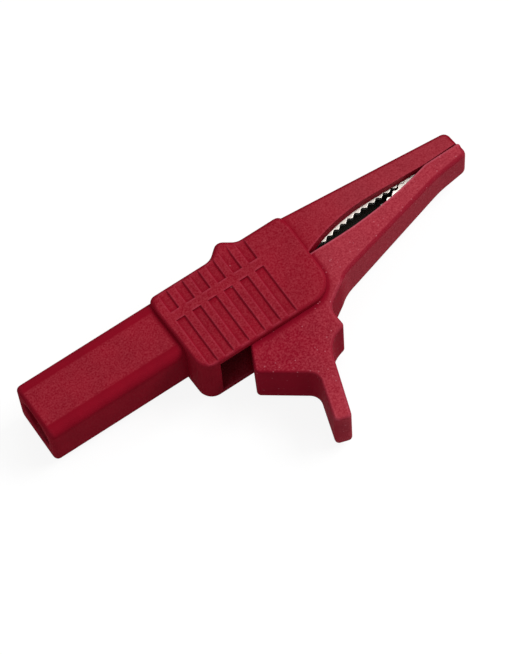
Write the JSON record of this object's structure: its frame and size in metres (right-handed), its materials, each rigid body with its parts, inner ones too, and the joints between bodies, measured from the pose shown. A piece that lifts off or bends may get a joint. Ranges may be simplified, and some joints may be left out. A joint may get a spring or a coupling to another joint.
{
  "type": "crocodile clip",
  "caption": "Insulated crocodile clip with toothed metal jaws, a finger trigger, a ribbed grip and a square tail holding a socket for a 4 mm test plug.",
  "frame": {"origin": "middle of the socket sleeve's mouth, on the socket axis", "axes": "+X along the clip to the jaw tips, +Y to the thumb side, +Z out of a cheek; the clip lies on its side"},
  "size_m": [0.0886, 0.0391, 0.0136],
  "materials": {
    "housing_plastic": "fine spark-eroded texture",
    "trigger_plastic": "fine spark-eroded texture",
    "contact_nickel": "nickel plate over stamped sheet",
    "socket_nickel": "nickel plate over turned brass",
    "spring_steel": "drawn wire",
    "pin_steel": "ground"
  },
  "bodies": {
    "clip_body": {"housing": "housing_plastic", "upper_contact": "contact_nickel", "socket_sleeve": "socket_nickel", "strap_rivet": "socket_nickel", "pivot_pin": "pin_steel", "torsion_spring": "spring_steel"},
    "trigger": {"trigger_jaw": "trigger_plastic", "lower_contact": "contact_nickel"}
  },
  "joints": [
    {"name": "jaw_hinge", "type": "hinge", "parent": "clip_body", "child": "trigger", "pos_m": [0.0425, -0.0048, 0], "axis": [0, 0, -1], "range_deg": [0, 28], "stiffness_Nm_per_rad": 0.12, "springref_deg": -85.94, "deforming": ["torsion_spring"]}
  ]
}
